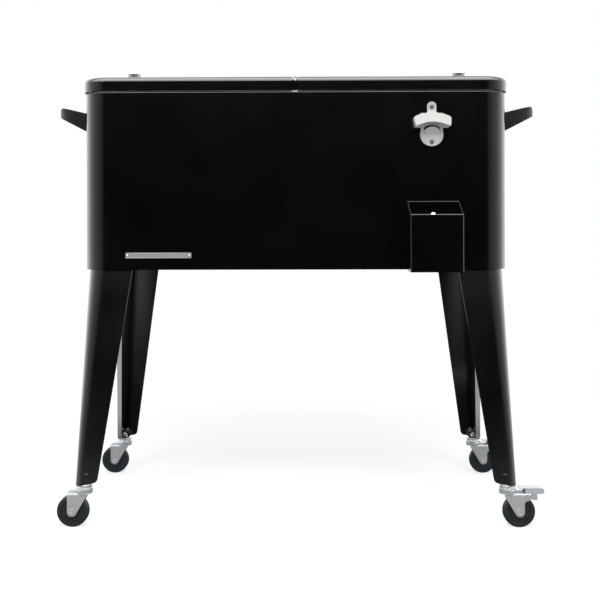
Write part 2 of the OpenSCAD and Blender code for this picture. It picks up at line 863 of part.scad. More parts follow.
module foot_plates() {
    inner = leg_corner(foot_plate_z + foot_plate_t);
    inset = leg_t + lip_gap;
    plate_x = leg_face_foot - 18;
    plate_y = leg_side_foot - 18;
    lip_w = 10;
    lip_h = foot_bolt_rise + 8;
    color(leg_paint)
        translate([0, base_y, 0])
            for (s = stem_places)
                mirror([s[0] < 0 ? 1 : 0, 0, 0])
                    mirror([0, s[1] < 0 ? 1 : 0, 0])
                        difference() {
                            union() {
                                translate([inner[0] - inset, inner[1] - inset, foot_plate_z])
                                    linear_extrude(foot_plate_t)
                                        folded_corner(plate_x, plate_y, leg_r_foot - leg_t);
                                intersection() {
                                    foot_bolt_place()
                                        translate([-lip_w / 2, -inset - lip_t, -lip_h])
                                            cube([lip_w, lip_t, lip_h + foot_bolt_d + 1.5]);
                                    translate([0, 0, foot_plate_z])
                                        cube([body_w, body_d, lip_h + foot_bolt_rise]);
                                }
                            }
                            translate([stem_x, stem_y, foot_plate_z - 1])
                                cylinder(d = stem_d + 0.2, h = foot_plate_t + 2);
                            foot_bolt_place()
                                rod_y(foot_bolt_d, -inset - lip_t - 1, 0);
                        }
}

module foot_bolts() {
    deep = leg_t + lip_gap + lip_t;
    nut_h = 3.6;
    color(zinc)
        translate([0, base_y, 0])
            for (s = stem_places)
                mirror([s[0] < 0 ? 1 : 0, 0, 0])
                    mirror([0, s[1] < 0 ? 1 : 0, 0])
                        foot_bolt_place() {
                            rod_y(foot_bolt_d, -deep - nut_h - 1.5, 0);
                            rotate([-90, 0, 0])
                                intersection() {
                                    cylinder(d = 2 * foot_bolt_d, h = 2);
                                    translate([0, 0, -foot_bolt_d])
                                        sphere(foot_bolt_d + 2);
                                }
                            translate([0, -deep, 0])
                                rotate([90, 0, 0])
                                    cylinder(d = 1.85 * foot_bolt_d, h = nut_h, $fn = 6);
                        }
}

module leg_bolts() {
    head_h = 4;
    color(zinc)
        translate([0, base_y, 0])
            for (s = stem_places, b = leg_bolt_places)
                translate([s[0] * (leg_top_x + b[0]), s[1] * (leg_top_y + b[1]), panel_z - leg_plate_t]) {
                    cylinder(d = leg_bolt_d, h = leg_plate_t + sheet_t);
                    translate([0, 0, -1])
                        cylinder(d = 2.1 * leg_bolt_d, h = 1);
                    translate([0, 0, -1 - head_h])
                        cylinder(d = 1.9 * leg_bolt_d, h = head_h, $fn = 6);
                }
}

module handle(sx) {
    side_x = body_w / 2;
    end_x = side_x + handle_reach;
    half = handle_len / 2;
    inner_half = half - handle_bar + 5;
    inner_bend = handle_bend - handle_bar + 1;
    low = handle_top - handle_root;
    tip_top = handle_top + handle_rise * handle_reach;
    tip_r = 0.515 * handle_tip;
    color(nylon)
        translate([0, base_y, 0])
            mirror([sx < 0 ? 1 : 0, 0, 0])
                difference() {
                    union() {
                        // Bow: its plan, cut to its side view
                        intersection() {
                            translate([0, 0, low])
                                linear_extrude(2 * flange_h)
                                    difference() {
                                        polygon(rounded([
                                            [side_x, -half, 0],
                                            [end_x, -half + 7, handle_bend],
                                            [end_x, half - 7, handle_bend],
                                            [side_x, half, 0]
                                        ]));
                                        polygon(rounded([
                                            [side_x - 1, -inner_half, 0],
                                            [end_x - handle_bar, -inner_half + 4, inner_bend],
                                            [end_x - handle_bar, inner_half - 4, inner_bend],
                                            [side_x - 1, inner_half, 0]
                                        ]));
                                    }
                            front_cut(-half, half)
                                polygon(rounded([
                                    [side_x, low, 0],
                                    [end_x, tip_top - handle_tip, tip_r],
                                    [end_x, tip_top, tip_r],
                                    [side_x, handle_top, 0]
                                ]));
                        }
                        for (sy = [-1, 1])
                            translate([side_x, sy * (half + flange_len / 2 - 7), flange_mid])
                                rotate([0, 90, 0])
                                    linear_extrude(flange_t)
                                        round_rect(flange_h, flange_len + 14, 5);
                    }
                    for (sy = [-1, 1], sz = [-1, 1])
                        translate([side_x, sy * flange_y, flange_mid + sz * flange_pitch / 2])
                            rod_x(handle_screw_d, -1, flange_t + 1);
                }
}

module handle_left() handle(-1);
module handle_right() handle(1);

module handle_screws() {
    color(chrome)
        translate([0, base_y, 0])
            for (p = handle_screw_places)
                translate(p)
                    mirror([p[0] < 0 ? 1 : 0, 0, 0]) {
                        rod_x(handle_screw_d, -sheet_t, flange_t + 0.5);
                        translate([flange_t, 0, 0])
                            rotate([0, 90, 0])
                                dome_head(9, 3.4);
                    }
}

// The opener's screws sit in shallow counterbores
opener_head_d = 8;
opener_bore = 1.2;

module bottle_opener() {
    top = opener_h;
    disc_r = disc_d / 2;
    half = hood_w / 2;
    hood_top = opener_h - 22;
    hood_low = opener_h - 50.5;
    color(chrome)
        translate([opener_x, base_y + front_y, opener_low])
            difference() {
                union() {
                    // Plate: lower disc, waist and upper tab
                    front_cut(-opener_t, 0) {
                        translate([0, disc_r])
                            circle(disc_r);
                        translate([-disc_r + 1, disc_r])
                            square([disc_d - 2, hood_top - disc_r]);
                        translate([0, top - tab_w / 2])
                            circle(tab_w / 2);
                        translate([-tab_w / 2, hood_top - 4])
                            square([tab_w, top - tab_w / 2 - hood_top + 4]);
                    }
                    // Hood: an arched band, cut to its side view
                    intersection() {
                        front_cut(-hood_reach, 0)
                            polygon(rounded([
                                [-half + 3, hood_low, 3],
                                [-half, hood_top - 9, 6],
                                [-half + 13, hood_top - 3, 12],
                                [-tab_w / 2, hood_top, 4],
                                [-tab_w / 2 + 1, hood_top + 4, 0],
                                [tab_w / 2 - 1, hood_top + 4, 0],
                                [tab_w / 2, hood_top, 4],
                                [half - 13, hood_top - 3, 12],
                                [half, hood_top - 9, 6],
                                [half - 3, hood_low, 3]
                            ]));
                        side_cut(-half, half)
                            polygon(rounded([
                                [0, hood_low - 2, 0],
                                [-hood_reach, hood_low - 2, 0],
                                [-hood_reach, hood_low + 4, 2],
                                [-opener_t - 3, hood_top + 4, 6],
                                [-opener_t - 1, hood_top + 10, 0],
                                [0, hood_top + 10, 0]
                            ]));
                    }
                }
                // Mouth: the arch under the hood, hollowed up behind its front lip
                front_cut(-hood_reach - 1, -opener_t)
                    translate([0, hood_low + 9.5 - 60])
                        circle(60, $fn = 128);
                front_cut(-hood_reach + 9.6, -opener_t)
                    translate([0, hood_low + 13.5 - 27])
                        circle(27, $fn = 128);
                // Slot above the tooth, open to the wall behind
                front_cut(-opener_t - 1, 1)
                    translate([0, hood_low])
                        intersection() {
                            difference() {
                                translate([0, -19.5])
                                    circle(24.5);
                                translate([0, -19])
                                    circle(20);
                            }
                            translate([-15, -8])
                                square([30, 20]);
                        }
                for (z = [tab_screw_z, disc_screw_z])
                    translate([0, 0, z - opener_low]) {
                        rod_y(opener_screw_d, -opener_t - 1, 1);
                        rod_y(opener_head_d + 1.6, -opener_t - 1, -opener_t + opener_bore);
                    }
            }
    // Tooth that catches the edge of a cap: an arched lip that leans out of the plate
    color(chrome)
        translate([opener_x, base_y + front_y - opener_t, opener_low + hood_low])
            intersection() {
                front_cut(-12, 0)
                    translate([0, -19])
                        circle(20);
                side_cut(-15, 15)
                    polygon([[0, -12], [-9, -1], [-9, 2], [-6, 2], [0, -4]]);
            }
}

module opener_screws() {
    color(chrome)
        translate([opener_x, base_y + front_y, 0])
            for (z = [tab_screw_z, disc_screw_z])
                translate([0, 0, z]) {
                    rod_y(opener_screw_d, -opener_t + opener_bore, sheet_t);
                    translate([0, -opener_t + opener_bore, 0])
                        rotate([90, 0, 0])
                            dome_head(opener_head_d, 2.8);
                }
}

// Screws of the cap catcher: one shows over its front, one is inside it
catcher_screw_zs = [catcher_rim - 1, catcher_low + 30];
catcher_shank_d = 5;

module cap_catcher() {
    t = catcher_t;
    half = catcher_w / 2;
    bend = 3;
    hem_d = 2.6;
    color(paint)
        translate([catcher_x, base_y + front_y, 0])
            difference() {
                union() {
                    // Front and sides, bent from one strip whose upper edges slope down to the front
                    intersection() {
                        translate([0, 0, catcher_low])
                            linear_extrude(catcher_top - catcher_low)
                                difference() {
                                    polygon(rounded([
                                        [-half, 0, 0],
                                        [-half, -catcher_d, bend],
                                        [half, -catcher_d, bend],
                                        [half, 0, 0]
                                    ]));
                                    polygon(rounded([
                                        [-half + t, 1, 0],
                                        [-half + t, -catcher_d + t, bend - t],
                                        [half - t, -catcher_d + t, bend - t],
                                        [half - t, 1, 0]
                                    ]));
                                }
                        side_cut(-half, half)
                            polygon([
                                [0, catcher_low],
                                [-catcher_d, catcher_low],
                                [-catcher_d, catcher_rim - hem_d / 2],
                                [-catcher_d + hem_d, catcher_rim - hem_d / 2],
                                [-t, catcher_top],
                                [0, catcher_top]
                            ]);
                    }
                    // Rolled hem along the front
                    translate([0, -catcher_d + hem_d / 2, catcher_rim - hem_d / 2])
                        rod_x(hem_d, -half + bend / 2, half - bend / 2);
                    // Floor and back plate
                    translate([-half + t / 2, -catcher_d + t / 2, catcher_low])
                        cube([2 * half - t, catcher_d - t / 2, t]);
                    translate([-half + t / 2, -t, catcher_low])
                        cube([2 * half - t, t, catcher_top - catcher_low]);
                    translate([0, -t / 2, catcher_top])
                        rod_x(t, -half + t / 2, half - t / 2);
                }
                for (z = catcher_screw_zs)
                    translate([0, 0, z])
                        rod_y(catcher_shank_d, -2 * t, t);
            }
}

module catcher_screws() {
    color(chrome)
        translate([catcher_x, base_y + front_y, 0])
            for (z = catcher_screw_zs)
                translate([0, 0, z]) {
                    rod_y(catcher_shank_d, -catcher_t, sheet_t);
                    translate([0, -catcher_t, 0])
                        rotate([90, 0, 0])
                            dome_head(catcher_screw_d, 3.4);
                }
}

module drain_spout() {
    tube_low = panel_z - drain_reach;
    color(nylon)
        translate([0, base_y, 0])
            difference() {
                union() {
                    drain_hole(drain_d, tube_low, liner_floor - dish_h);
                    drain_hole(dish_d - 1, liner_floor - dish_h, liner_floor - dish_h + 2);
                }
                drain_hole(drain_bore, tube_low - 1, liner_floor + 1);
            }
}

module drain_nut() {
    color(nylon)
        translate([-drain_x, base_y + drain_y, panel_z - 4])
            difference() {
                cylinder(d = drain_d + 12, h = 4, $fn = 6);
                translate([0, 0, -1])
                    cylinder(d = drain_d + 0.2, h = 6);
            }
}

module drain_cap() {
    wall = 2.4;
    cap_r = drain_d / 2 + drain_gap + wall;
    low = panel_z - drain_reach - drain_gap - wall;
    color(nylon)
        translate([-drain_x, base_y + drain_y, low])
            difference() {
                union() {
                    cylinder(r = cap_r, h = drain_cap_h);
                    for (turn = [0 : 30 : 330])
                        rotate(turn)
                            translate([cap_r, 0, 0])
                                cylinder(r = 0.9, h = drain_cap_h);
                }
                translate([0, 0, wall])
                    cylinder(d = drain_d + 2 * drain_gap, h = drain_cap_h);
            }
}

// Parts of a caster are drawn about its stem, trailing towards +X, and mirrored for the left side
module caster_place(sx, sy) {
    translate([sx * stem_x, base_y + sy * stem_y, 0])
        mirror([sx < 0 ? 1 : 0, 0, 0])
            children();
}

ball_z = lower_race_top + race_gap / 2;
ball_clear = 0.3;

module ball_track() {
    translate([0, 0, ball_z])
        rotate_extrude()
            translate([ball_ring_d / 2, 0])
                circle(ball_d / 2 + ball_clear);
}

module stem(sx, sy) {
    rivet_h = 2;
    color(zinc)
        caster_place(sx, sy) {
            difference() {
                translate([0, 0, upper_race_z])
                    cylinder(d = race_d + 1, h = upper_race_h);
                ball_track();
            }
            translate([0, 0, upper_race_z + upper_race_h])
                cylinder(d = 2 * stem_d + 4, h = collar_h);
            translate([0, 0, foot_plate_z - boss_h - washer_h])
                cylinder(d = race_d - 2, h = washer_h);
            translate([0, 0, foot_plate_z - boss_h])
                cylinder(d = 2 * stem_d + 2, h = boss_h);
            translate([0, 0, crown_z - rivet_h - 0.1])
                cylinder(d = stem_d, h = foot_plate_z + stem_end - crown_z + rivet_h);
            translate([0, 0, crown_z - rivet_h - 0.1])
                cylinder(d = stem_d + 5, h = rivet_h);
            translate([0, 0, foot_plate_z + foot_plate_t])
                cylinder(d = 14, h = 4.5, $fn = 6);
        }
}

module stem_front_left() stem(-1, -1);
module stem_front_right() stem(1, -1);
module stem_rear_left() stem(-1, 1);
module stem_rear_right() stem(1, 1);

module swivel_balls() {
    color(chrome)
        for (s = stem_places, i = [0 : balls - 1])
            caster_place(s[0], s[1])
                rotate(i * 360 / balls)
                    translate([ball_ring_d / 2, 0, ball_z])
                        sphere(d = ball_d);
}

// Side of a fork: its leading edge runs down to touch the round end at the axle
lead = [-5.2, crown_z - 7];
lead_reach = [trail - lead[0], lead[1] - axle_z];
lead_slope = atan2(lead_reach[1], lead_reach[0]) + asin(fork_end_r / norm(lead_reach));
fork_low = axle_z - fork_end_r;
lead_foot = lead[0] + (lead[1] - fork_low) / tan(lead_slope);
fork_back = trail + fork_end_r;

function plain_side() = [
    [-10, fork_top, 0],
    [fork_back, fork_top, 0]
];

function brake_side() = [
    [-10, fork_top, 0],
    [brake_x + 6.5, fork_top, 2],
    [brake_x + 6.5, brake_z - 7, 4],
    [fork_back, brake_z - 12, 5]
];

module fork(sx, sy) {
    braked = sx > 0;
    half = fork_gap / 2 + fork_t;
    outline = rounded(concat(
        braked ? brake_side() : plain_side(),
        [
            [fork_back, fork_low, fork_end_r * 0.98],
            [lead_foot, fork_low, fork_end_r * 0.98],
            [lead[0], lead[1], 6],
            [-10, crown_z, 0]
        ]));
    color(zinc)
        caster_place(sx, sy)
            difference() {
                union() {
                    // Two sides and the crown between them, bent from one sheet
                    intersection() {
                        union() {
                            for (y = [-half, half - fork_t])
                                front_cut(y, y + fork_t)
                                    polygon(outline);
                            translate([-10, -half, crown_z])
                                cube([fork_back + 10, 2 * half, fork_t]);
                        }
                        side_cut(-race_d, 2 * pedal_reach)
                            polygon(rounded([
                                [-half, 0, 0],
                                [half, 0, 0],
                                [half, fork_top, 4],
                                [-half, fork_top, 4]
                            ]));
                    }
                    translate([0, 0, crown_z])
                        cylinder(d = race_d, h = fork_t + race_h);
                }
                ball_track();
                translate([0, 0, crown_z - 1])
                    cylinder(d = stem_d + 2 * turn_clear, h = race_h + fork_t + 2);
                translate([trail, 0, axle_z])
                    rod_y(axle_d + 0.1, -half - 1, half + 1);
                if (braked)
                    translate([brake_x, 0, brake_z])
                        rod_y(brake_pin_d + 0.1, -half - 1, half + 1);
            }
}

module fork_front_left() fork(-1, -1);
module fork_front_right() fork(1, -1);
module fork_rear_left() fork(-1, 1);
module fork_rear_right() fork(1, 1);

// Wheel: tread with round shoulders, recessed web and hub
module wheel(sx, sy) {
    r = wheel_d / 2;
    half = wheel_w / 2;
    shoulder = 4;
    rim_r = r - 8.5;
    hub_r = bush_d / 2 + 4.5;
    hub_half = fork_gap / 2 - 1;
    web_half = 7.2;
    color(rubber)
        caster_place(sx, sy)
            translate([trail, 0, axle_z])
                rotate([90, 0, 0])
                    rotate_extrude($fn = 96)
                        difference() {
                            union() {
                                translate([bush_d / 2, -web_half])
                                    square([r - shoulder - bush_d / 2, 2 * web_half]);
                                translate([bush_d / 2, -hub_half])
                                    square([hub_r - bush_d / 2, 2 * hub_half]);
                                translate([rim_r, -half])
                                    square([r - shoulder - rim_r, 2 * half]);
                                translate([rim_r, -half + shoulder])
                                    square([r - rim_r, 2 * half - 2 * shoulder]);
                                for (y = [-half + shoulder, half - shoulder])
                                    translate([r - shoulder, y])
                                        circle(shoulder);
                            }
                            translate([0, -half - 5])
                                square([bush_d / 2 + turn_clear, 2 * half + 10]);
                        }
}

module wheel_front_left() wheel(-1, -1);
module wheel_front_right() wheel(1, -1);
module wheel_rear_left() wheel(-1, 1);
module wheel_rear_right() wheel(1, 1);

// Axle: a rivet with a hollow end at each side
module axle(sx, sy) {
    half = fork_gap / 2 + fork_t;
    head_t = axle_half - half;
    color(zinc)
        caster_place(sx, sy)
            translate([trail, 0, axle_z])
                difference() {
                    union() {
                        rod_y(axle_d, -axle_half, axle_half);
                        rod_y(axle_d + 5, -axle_half, -half);
                        rod_y(axle_d + 5, half, axle_half);
                    }
                    for (y = [-axle_half - 1, axle_half - head_t])
                        rod_y(axle_d - 2, y, y + head_t + 1);
                }
}

module axle_front_left() axle(-1, -1);
module axle_front_right() axle(1, -1);
module axle_rear_left() axle(-1, 1);
module axle_rear_right() axle(1, 1);

module bush(sx, sy) {
    half = fork_gap / 2;
    color(chrome)
        caster_place(sx, sy)
            translate([trail, 0, axle_z])
                difference() {
                    rod_y(bush_d, -half, half);
                    rod_y(axle_d + 0.1, -half - 1, half + 1);
                }
}

module bush_front_left() bush(-1, -1);
module bush_front_right() bush(1, -1);
module bush_rear_left() bush(-1, 1);
module bush_rear_right() bush(1, 1);

// Brake lever: a channel with two ears on its pin, a pedal and a shoe over the tread
module brake_lever(sy) {
    flange_low = pedal_top - pedal_depth;
    start_x = race_d / 2 + 4;
    outline = rounded([
        [start_x, pedal_top, 0],
        [start_x, pedal_top - lever_t, 0],
        [brake_x - 4.5, pedal_top - lever_t, 0],
        [brake_x - 4.5, brake_z - 4, 3.5],
        [brake_x + 4.5, brake_z - 4, 3.5],
        [brake_x + 4.5, flange_low, 1],
        [pedal_reach, flange_low, 5],
        [pedal_reach, pedal_top, 5]
    ]);
    shoe = [brake_x + 5, brake_x + 19];
    color(zinc)
        caster_place(1, sy)
            difference() {
                union() {
                    difference() {
                        front_cut(-lever_half, lever_half)
                            polygon(outline);
                        front_cut(-lever_half + lever_t, lever_half - lever_t)
                            polygon([
                                [start_x - 1, brake_z - 10],
                                [pedal_reach - lever_t, brake_z - 10],
                                [pedal_reach - lever_t, pedal_top - lever_t],
                                [start_x - 1, pedal_top - lever_t]
                            ]);
                    }
                    difference() {
                        translate([shoe[0], -lever_half + 0.5, brake_z - 9])
                            cube([shoe[1] - shoe[0], 2 * lever_half - 1, flange_low - brake_z + 10.5]);
                        translate([trail, 0, axle_z])
                            rod_y(wheel_d + 2 * shoe_gap, -fork_gap, fork_gap);
                    }
                }
                translate([brake_x, 0, brake_z])
                    rod_y(brake_pin_d + 2 * turn_clear, -fork_gap, fork_gap);
            }
}

module brake_lever_front() brake_lever(-1);
module brake_lever_rear() brake_lever(1);

module brake_pin(sy) {
    half = fork_gap / 2 + fork_t;
    color(zinc)
        caster_place(1, sy)
            translate([brake_x, 0, brake_z]) {
                rod_y(brake_pin_d, -half - 1, half + 1);
                for (y = [-half - 1, half])
                    rod_y(brake_pin_d + 3, y, y + 1);
            }
}

module brake_pin_front() brake_pin(-1);
module brake_pin_rear() brake_pin(1);

module lid_left_shell() lid_shell("left");
module lid_left_panel() lid_panel("left");
module lid_left_seal() lid_seal("left");
module lid_left_hinge() lid_hinge("left");
module lid_left_knob() lid_knob("left");
module lid_left_knob_screw() lid_knob_screw("left");
module lid_right_shell() lid_shell("right");
module lid_right_panel() lid_panel("right");
module lid_right_seal() lid_seal("right");
module lid_right_hinge() lid_hinge("right");
module lid_right_knob() lid_knob("right");
module lid_right_knob_screw() lid_knob_screw("right");

outer_shell();
inner_liner();
foam_insulation();
bottom_panel();
center_bar();
hinge_pin();
leg_front_left();
leg_front_right();
leg_rear_left();
leg_rear_right();
foot_plates();
foot_bolts();
leg_bolts();
handle_left();
handle_right();
handle_screws();
bottle_opener();
opener_screws();
cap_catcher();
catcher_screws();
drain_spout();
drain_nut();
drain_cap();
lid_left_shell();
lid_left_panel();
lid_left_seal();
lid_left_hinge();
lid_left_knob();
lid_left_knob_screw();
lid_right_shell();
lid_right_panel();
lid_right_seal();
lid_right_hinge();
lid_right_knob();
lid_right_knob_screw();
stem_front_left();
stem_front_right();
stem_rear_left();
stem_rear_right();
swivel_balls();
fork_front_left();
fork_front_right();
fork_rear_left();
fork_rear_right();
wheel_front_left();
wheel_front_right();
wheel_rear_left();
wheel_rear_right();
axle_front_left();
axle_front_right();
axle_rear_left();
axle_rear_right();
bush_front_left();
bush_front_right();
bush_rear_left();
bush_rear_right();
brake_lever_front();
brake_lever_rear();
brake_pin_front();
brake_pin_rear();
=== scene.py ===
"""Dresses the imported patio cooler: finishes for every CAD node, the bare nameplate, floor, light and camera.

Everything is in metres in the CAD's own frame: X to the right, the front faces -Y, Z up, floor at Z = 0.
"""
import json
import math
from collections import namedtuple

import bpy
import numpy as np
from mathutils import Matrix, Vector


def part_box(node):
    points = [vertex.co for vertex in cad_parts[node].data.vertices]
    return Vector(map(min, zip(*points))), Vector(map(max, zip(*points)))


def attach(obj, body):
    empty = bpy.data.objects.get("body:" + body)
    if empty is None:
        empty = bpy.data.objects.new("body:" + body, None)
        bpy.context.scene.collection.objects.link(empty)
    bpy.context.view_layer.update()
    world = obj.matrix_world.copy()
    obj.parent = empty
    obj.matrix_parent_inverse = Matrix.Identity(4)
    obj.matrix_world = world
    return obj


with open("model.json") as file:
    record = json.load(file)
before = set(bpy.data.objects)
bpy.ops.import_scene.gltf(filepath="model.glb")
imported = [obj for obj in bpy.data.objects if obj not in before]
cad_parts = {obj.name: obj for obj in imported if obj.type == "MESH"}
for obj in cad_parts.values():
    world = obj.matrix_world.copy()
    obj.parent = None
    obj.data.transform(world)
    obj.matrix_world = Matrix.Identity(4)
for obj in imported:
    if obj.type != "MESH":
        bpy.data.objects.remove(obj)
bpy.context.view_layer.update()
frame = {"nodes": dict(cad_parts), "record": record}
nodes = frame["nodes"]

# The cooler's middle, front to back
middle_y = 0.0102


# Helpers for shader nodes

def new_node(tree, kind, **inputs):
    """Adds a node and sets its inputs; an underscore in a key stands for a space in the input's name."""
    made = tree.nodes.new(kind)
    for key, value in inputs.items():
        made.inputs[key.replace("_", " ")].default_value = value
    return made


def remap(tree, source, start, stop, low, high, smooth=False):
    """Maps start..stop onto low..high, along a straight line or a smooth step."""
    made = new_node(tree, "ShaderNodeMapRange", From_Min=start, From_Max=stop, To_Min=low, To_Max=high)
    if smooth:
        made.interpolation_type = "SMOOTHSTEP"
    tree.links.new(source, made.inputs["Value"])
    return made.outputs["Result"]


def calculate(tree, operation, first, second=None):
    """One step of arithmetic on a socket, with a second socket, a number or nothing."""
    made = new_node(tree, "ShaderNodeMath")
    made.operation = operation
    tree.links.new(first, made.inputs[0])
    if isinstance(second, float):
        made.inputs[1].default_value = second
    elif second is not None:
        tree.links.new(second, made.inputs[1])
    return made.outputs["Value"]


def axis_of(tree, place, axis):
    """One coordinate of a position or direction."""
    made = new_node(tree, "ShaderNodeSeparateXYZ")
    tree.links.new(place, made.inputs["Vector"])
    return made.outputs[axis]


def mix_shaders(tree, factor, first, second):
    """Shader that runs from first to second with a 0..1 value."""
    made = new_node(tree, "ShaderNodeMixShader")
    for source, target in zip((factor, first, second), made.inputs):
        tree.links.new(source, target)
    return made.outputs["Shader"]


# Finishes

# Settings of a noise in object space; stretch gives its scale along each axis
Noise = namedtuple("Noise", "scale detail roughness stretch", defaults=(2.0, 0.5, None))


class Finish:
    """A material under construction: one Principled shader and short ways to feed it."""

    def __init__(self, name, **shader):
        self.material = bpy.data.materials.new(name)
        self.material.use_nodes = True
        self.tree = self.material.node_tree
        self.shader = self.tree.nodes["Principled BSDF"]
        self.place = new_node(self.tree, "ShaderNodeTexCoord").outputs["Object"]
        for key, value in shader.items():
            self.shader.inputs[key.replace("_", " ")].default_value = value

    def feed(self, source, name):
        self.tree.links.new(source, self.shader.inputs[name])

    def noise(self, settings):
        source = self.place
        if settings.stretch:
            mapping = new_node(self.tree, "ShaderNodeMapping", Scale=settings.stretch)
            self.tree.links.new(self.place, mapping.inputs["Vector"])
            source = mapping.outputs["Vector"]
        made = new_node(self.tree, "ShaderNodeTexNoise",
                        Scale=settings.scale, Detail=settings.detail, Roughness=settings.roughness)
        self.tree.links.new(source, made.inputs["Vector"])
        return made.outputs["Fac"]

    def colour(self, source, first, second):
        """Base colour that runs from first to second with a 0..1 value."""
        made = new_node(self.tree, "ShaderNodeMix")
        made.data_type = "RGBA"
        made.inputs["A"].default_value = (*first, 1.0)
        made.inputs["B"].default_value = (*second, 1.0)
        self.tree.links.new(source, made.inputs["Factor"])
        self.feed(made.outputs["Result"], "Base Color")

    def roughness(self, settings, low, high):
        """Roughness that drifts from low to high over the middle of a noise's range."""
        self.feed(remap(self.tree, self.noise(settings), 0.3, 0.7, low, high), "Roughness")

    def bump(self, settings, strength, distance):
        made = new_node(self.tree, "ShaderNodeBump", Strength=strength, Distance=distance)
        self.tree.links.new(self.noise(settings), made.inputs["Height"])
        self.feed(made.outputs["Normal"], "Normal")


def surface(name, colours, patches, roughs, drift, grain, strength, distance, **shader):
    """Material with two colours in patches, a roughness that drifts between two values and a fine grain.

    patches, drift and grain are the noises behind them; strength and distance are the grain's bump.
    """
    made = Finish(name, **shader)
    made.colour(made.noise(patches), *colours)
    made.roughness(drift, *roughs)
    made.bump(grain, strength, distance)
    return made.material


def powder_coat(name, tone, gloss, peel, sheen=0.5):
    """Gloss black powder coat: an even dark tone, faint orange peel and a slow drift in its gloss."""
    colours = ([tone * 0.8] * 3, [tone * 1.2, tone * 1.2, tone * 1.3])
    return surface(name, colours, Noise(7.0, 3.0), (gloss * 0.88, gloss * 1.15), Noise(11.0, 4.0),
                   Noise(420.0, 2.0, 0.4), strength=peel, distance=0.00025, IOR=1.65, Specular_IOR_Level=sheen)


def plated(name, colour, metallic, rough, grain, pits, sheen=0.5):
    """Bright plating on a casting: polished, with faint pits and a soft unevenness under the plate."""
    return surface(name, ([c * 0.93 for c in colour], colour), Noise(60.0, 3.0),
                   (rough * 0.75, rough * 1.35), Noise(90.0, 4.0, 0.6),
                   Noise(grain, 3.0, 0.55), strength=pits, distance=0.0003,
                   Metallic=metallic, Specular_IOR_Level=sheen)


def zinc_plate(name, tone, metallic, rough):
    """Zinc plating on steel: slightly blue, with cloudy patches and fine rolling lines."""
    colours = ([tone * 0.97, tone * 0.985, tone], [tone * 1.17, tone * 1.17, tone * 1.185])
    return surface(name, colours, Noise(70.0, 3.0), (rough * 0.8, rough * 1.2), Noise(160.0, 3.0),
                   Noise(900.0, 2.0, 0.5, (1.0, 1.0, 0.15)), strength=0.03, distance=0.0002, Metallic=metallic)


def wheel_rubber():
    """Dark moulded rubber: matt, with a fine grain and paler scuffed patches."""
    return surface("wheel_rubber", ((0.010, 0.011, 0.012), (0.022, 0.023, 0.025)), Noise(45.0, 5.0, 0.65),
                   (0.42, 0.6), Noise(150.0, 3.0), Noise(1400.0), strength=0.18, distance=0.0003,
                   IOR=1.48, Specular_IOR_Level=0.25)


def seal_rubber():
    """Soft dark seal: fully matt with a fine foam grain."""
    return surface("seal_rubber", ((0.030, 0.030, 0.031), (0.050, 0.050, 0.052)), Noise(300.0, 3.0),
                   (0.7, 0.85), Noise(200.0), Noise(2500.0), strength=0.3, distance=0.0003)


def liner_plastic():
    """Pale moulded liner: smooth semi-gloss plastic with a faint mould grain."""
    return surface("liner_plastic", ((0.70, 0.72, 0.73), (0.76, 0.77, 0.78)), Noise(5.0, 4.0),
                   (0.30, 0.40), Noise(80.0, 3.0), Noise(700.0), strength=0.06, distance=0.0003, IOR=1.48)


def foam_block():
    """Rigid foam: cream, matt and finely celled."""
    return surface("foam_block", ((0.72, 0.62, 0.42), (0.84, 0.76, 0.56)), Noise(90.0, 5.0),
                   (0.85, 0.95), Noise(60.0), Noise(1200.0, 3.0), strength=0.5, distance=0.0006)


def black_nylon():
    """Black moulded nylon: satin, with a fine spark-eroded grain."""
    return surface("black_nylon", ((0.012, 0.012, 0.013), (0.020, 0.020, 0.021)), Noise(50.0, 3.0),
                   (0.42, 0.55), Noise(120.0, 3.0), Noise(1800.0), strength=0.2, distance=0.0002, IOR=1.5)


def brushed_plate():
    """Aluminium nameplate: brushed along its length."""
    lines = Noise(900.0, 4.0, 0.7, (0.02, 1.0, 1.0))
    return surface("brushed_plate", ((0.36, 0.36, 0.37), (0.54, 0.54, 0.55)), lines,
                   (0.30, 0.48), lines, lines, strength=0.15, distance=0.0001, Metallic=1.0)


def painted_heads(inner, outer):
    """Bolts that were coated with the legs: plated inside the leg, black outside its face.

    inner and outer are the distances from the cooler's middle between which the coat begins.
    """
    bolt = Finish("foot_bolt", IOR=1.65)
    off_middle = calculate(bolt.tree, "SUBTRACT", axis_of(bolt.tree, bolt.place, "Y"), middle_y)
    painted = remap(bolt.tree, calculate(bolt.tree, "ABSOLUTE", off_middle), inner, outer, 0.0, 1.0)
    bolt.colour(painted, (0.62, 0.62, 0.63), (0.006, 0.006, 0.006))
    bolt.feed(remap(bolt.tree, painted, 0.0, 1.0, 1.0, 0.0), "Metallic")
    bolt.feed(remap(bolt.tree, painted, 0.0, 1.0, 0.5, 0.1), "Specular IOR Level")
    bolt.roughness(Noise(260.0, 3.0), 0.34, 0.46)
    bolt.bump(Noise(900.0), 0.1, 0.0002)
    return bolt.material


